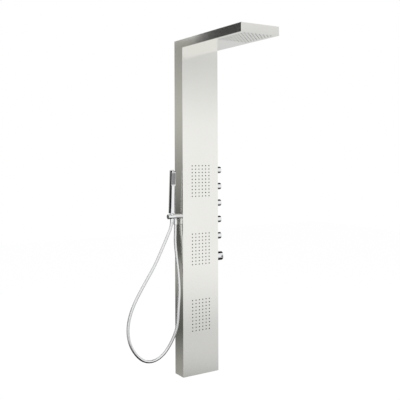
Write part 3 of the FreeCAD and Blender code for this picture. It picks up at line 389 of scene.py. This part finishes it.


# Jet collars: the low silicone rim that each body jet's nozzle has where it stands on the steel. Being
# near black, the rims also paint the shade round the nozzle holes.

JET_COLUMNS, JET_ROWS = 6, 10
JET_ACROSS, JET_UP = 0.019, 0.0162
NOZZLE_PROUD = 0.0018
COLLAR_PROFILE = [(0.00290, -0.0001), (0.00290, 0.00015), (0.00284, 0.00033), (0.00270, 0.00042),
                  (0.00250, 0.00045), (0.00200, 0.00045), (0.00200, -0.0001)]


def jet_collars_and_shade(name, mat, around=16):
    """One closed ring per nozzle, from a profile of (radius, height above the steel)."""
    low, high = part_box(mat)
    face = low[1] + NOZZLE_PROUD
    circle, size = around_circle(around), len(COLLAR_PROFILE)
    verts, faces = [], []
    for column in range(JET_COLUMNS):
        for row in range(JET_ROWS):
            x = (low[0] + high[0]) / 2 + (column - (JET_COLUMNS - 1) / 2) * JET_ACROSS
            z = (low[2] + high[2]) / 2 + (row - (JET_ROWS - 1) / 2) * JET_UP
            start = len(verts)
            for radius, height in COLLAR_PROFILE:
                for cosine, sine in circle:
                    verts.append((x + radius * cosine, face - height, z + radius * sine))
            for i in range(size):
                for k in range(around):
                    a, b = start + i * around, start + (i + 1) % size * around
                    faces.append((a + k, a + (k + 1) % around, b + (k + 1) % around, b + k))
    piece = mesh_piece(name, verts, faces, DARK_SILICONE_AND_SHADE)
    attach(piece, "panel")


for field in ("upper", "middle", "lower"):
    jet_collars_and_shade(field + "_jet_collars_and_shade", field + "_jet_mat")


# Studio: a white room and a pale floor, soft lamps, and glowing cards that only polished metal shows,
# which paint its reflected light and shade.

WHITE = (1, 1, 1, 1)
NEUTRAL, WARM = (1, 1, 1), (1, 1, 0.93)
ROOM_LIGHT = 0.6
FLOOR_Z = -1.95
FLOOR_HALF = 9.0
FLOOR_COLOR = (0.8, 0.8, 0.79, 1)          # as it lights the object
FLOOR_SHADED = (0.2, 0.2, 0.2, 1)          # the share of what is seen that takes shadows
FLOOR_GLOW = 0.87
FLOOR_SHADOW_CARD_LIFT = 0.004
LEFT_WALL_X = -2.2
LAMP_TARGET = Vector((0, 0, -0.6))
LAMP_SIDE = 2.4

BACK_LEFT = Vector((-math.sin(YAW), math.cos(YAW), 0))
BACK_RIGHT = Vector((math.sin(YAW), math.cos(YAW), 0))
FRONT_RIGHT = -BACK_LEFT


def seen_directly(tree):
    """1 for camera, glossy and transmission rays, and 0 for the rays that light the room."""
    path = add(tree, "ShaderNodeLightPath")
    total = path.outputs["Is Camera Ray"]
    for name in ("Is Glossy Ray", "Is Transmission Ray"):
        node = add(tree, "ShaderNodeMath", operation="MAXIMUM")
        tree.links.new(total, node.inputs[0])
        tree.links.new(path.outputs[name], node.inputs[1])
        total = node.outputs[0]
    return total


def lit_or_seen(tree, lit, seen, out_kind):
    """Gives the rays that light the room one shader, and the rays that see it another."""
    mix = add(tree, "ShaderNodeMixShader")
    out = add(tree, out_kind)
    tree.links.new(seen_directly(tree), mix.inputs[0])
    tree.links.new(lit.outputs[0], mix.inputs[1])
    tree.links.new(seen.outputs[0], mix.inputs[2])
    tree.links.new(mix.outputs[0], out.inputs[0])


def white_room():
    world = bpy.data.worlds.new("studio")
    world.use_nodes = True
    tree = world.node_tree
    tree.nodes.clear()
    light = add(tree, "ShaderNodeBackground", {"Color": WHITE, "Strength": ROOM_LIGHT})
    seen = add(tree, "ShaderNodeBackground", {"Color": WHITE, "Strength": 1.0})
    lit_or_seen(tree, light, seen, "ShaderNodeOutputWorld")
    scene.world = world


def floor():
    material, tree = empty_material("floor")
    matt = add(tree, "ShaderNodeBsdfDiffuse", {"Color": FLOOR_COLOR})
    shaded = add(tree, "ShaderNodeBsdfDiffuse", {"Color": FLOOR_SHADED})
    glow = add(tree, "ShaderNodeEmission", {"Color": WHITE, "Strength": FLOOR_GLOW})
    pale = add(tree, "ShaderNodeAddShader")
    tree.links.new(shaded.outputs[0], pale.inputs[0])
    tree.links.new(glow.outputs[0], pale.inputs[1])
    lit_or_seen(tree, matt, pale, "ShaderNodeOutputMaterial")
    verts = [(x * FLOOR_HALF, y * FLOOR_HALF, FLOOR_Z) for x, y in ((-1, -1), (1, -1), (1, 1), (-1, 1))]
    mesh_piece("floor", verts, [(0, 1, 2, 3)], material, smooth=False)


def distance_out(tree, axes):
    """The level distance from the panel, from separated coordinates."""
    level = add(tree, "ShaderNodeCombineXYZ")
    tree.links.new(axes.outputs["X"], level.inputs["X"])
    tree.links.new(axes.outputs["Y"], level.inputs["Y"])
    length = add(tree, "ShaderNodeVectorMath", operation="LENGTH")
    tree.links.new(level.outputs[0], length.inputs[0])
    return length.outputs["Value"]


def card(name, corners, levels, color=NEUTRAL, outwards=False):
    """A glowing studio card of (place, brightness) levels, by height or by distance from the panel, seen
    only in reflections: it paints reflected light and shade on the metal.
    """
    material, tree = empty_material(name)
    axes = add(tree, "ShaderNodeSeparateXYZ")
    tree.links.new(place_in(tree), axes.inputs[0])
    across = distance_out(tree, axes) if outwards else axes.outputs["Z"]
    first, last = levels[0][0], levels[-1][0]
    ramp = add(tree, "ShaderNodeValToRGB")
    for i, (place, level) in enumerate(levels):
        spot = (place - first) / (last - first)
        element = ramp.color_ramp.elements[i] if i < 2 else ramp.color_ramp.elements.new(spot)
        element.position = spot
        element.color = (*(level * part for part in color), 1)
    tree.links.new(spread(tree, across, 0, 1, (first, last)), ramp.inputs["Fac"])
    glow = add(tree, "ShaderNodeEmission")
    tree.links.new(ramp.outputs["Color"], glow.inputs["Color"])
    out = add(tree, "ShaderNodeOutputMaterial")
    tree.links.new(glow.outputs[0], out.inputs[0])
    piece = mesh_piece(name, corners, [tuple(range(len(corners)))], material, smooth=False)
    piece.visible_camera = False
    piece.visible_diffuse = False
    piece.visible_shadow = False


def upright(direction, distance, left, right, low, high):
    """Corners of an upright rectangle that faces the panel, in metres from the origin's upright."""
    middle, across = direction * distance, Vector((direction.y, -direction.x, 0))
    return [middle + across * side + Vector((0, 0, z))
            for side, z in ((left, low), (right, low), (right, high), (left, high))]


def left_wall(front, back, low, high):
    """Corners of an upright rectangle far to the panel's left."""
    return [(LEFT_WALL_X, y, z) for y, z in ((front, low), (back, low), (back, high), (front, high))]


def side_card():
    """What the column's left side mirrors, from the floor up: a glowing card, seen only in reflections,
    that paints bands of reflected light and shade there.
    """
    top = 0.5
    levels = [(FLOOR_Z, 0.36), (-1.84, 0.33), (-1.60, 0.10), (-1.42, 0.14), (-1.22, 0.36),
              (-1.15, 0.34), (-1.06, 0.10), (-0.82, 0.085), (-0.67, 0.21), (-0.17, 0.48),
              (-0.02, 0.50), (top, 0.34)]
    card("side_card", upright(BACK_LEFT, 1.6, -1.0, 0.5, FLOOR_Z, top), levels, WARM)


def arm_flag():
    """Painted shade on the arm's left side: a dark card, seen only in reflections, that darkens that
    side.
    """
    low, high, level = 0.28, 1.0, 0.05
    card("arm_flag", upright(BACK_LEFT, 1.55, -1.0, -0.185, low, high), [(low, level), (high, level)])


def front_card():
    """Painted shade near the top of the front, and on the arm's end: a glowing card, seen only in
    reflections, darker in its middle band.
    """
    low, high = -0.04, 0.85
    levels = [(low, 0.99), (0.07, 0.93), (0.17, 0.88), (0.35, 0.78), (0.55, 0.69), (0.66, 0.80),
              (high, 0.92)]
    card("front_card", upright(FRONT_RIGHT, 3.0, -0.9, 0.9, low, high), levels)


def left_flags():
    """Painted shade on the left edges of the hand shower and of the hose below it: dark cards, seen only
    in reflections.
    """
    low, high = -0.95, -0.42
    card("hand_flag", left_wall(-1.8, 1.1, low, high),
         [(low, 0.25), (-0.88, 0.02), (-0.52, 0.02), (high, 0.4)])
    card("hose_flag", left_wall(0.2, 1.9, FLOOR_Z, low), [(FLOOR_Z, 0.03), (low, 0.03)])


def top_flag():
    """A dark card overhead, seen only in reflections: painted shade on the upper edges of the knobs and
    the barrel.
    """
    height, left, right, front, back = 1.7, -0.3, 3.2, -1.25, 2.5
    corners = [(left, front, height), (right, front, height), (right, back, height), (left, back, height)]
    card("top_flag", corners, [(height - 0.1, 0.02), (height + 0.1, 0.02)])


def back_card():
    """A grey glowing card behind the panel on its right, seen only in reflections: a painted reflection.
    """
    low, high = -1.2, 0.1
    card("back_card", upright(BACK_RIGHT, 3.0, -1.6, 1.6, low, high),
         [(low, 0.9), (-0.6, 0.72), (high, 0.6)])


def floor_shadow_card():
    """The floor as metal shows it: a glowing disc, seen only in reflections, with a painted shadow dark
    under the panel, and paler outwards.
    """
    reach = 6.0
    height = FLOOR_Z + FLOOR_SHADOW_CARD_LIFT
    ring = [(reach * cosine, reach * sine, height) for cosine, sine in around_circle(48)]
    # The dark inner levels are a painted shadow of the panel on the floor, seen only in reflections.
    levels = [(0.0, 0.01), (1.3, 0.02), (1.5, 0.42), (1.75, 0.62), (2.2, 0.71), (3.0, 0.70),
              (3.6, 0.79), (4.6, 0.93), (reach, 1.0)]
    card("floor_shadow_card", ring, levels, outwards=True)


def lamp(name, place, energy):
    data = bpy.data.lights.new(name, "AREA")
    data.size = LAMP_SIDE
    data.energy = energy
    light = bpy.data.objects.new(name, data)
    light.location = place
    light.rotation_euler = (LAMP_TARGET - Vector(place)).to_track_quat("-Z", "Y").to_euler()
    light.visible_glossy = False
    scene.collection.objects.link(light)


white_room()
floor()
side_card()
arm_flag()
front_card()
left_flags()
top_flag()
back_card()
floor_shadow_card()
lamp("key", (-2.6, -3.6, 1.8), 90)
lamp("fill", (3.0, -3.2, 0.4), 45)
scene.view_settings.view_transform = "Standard"
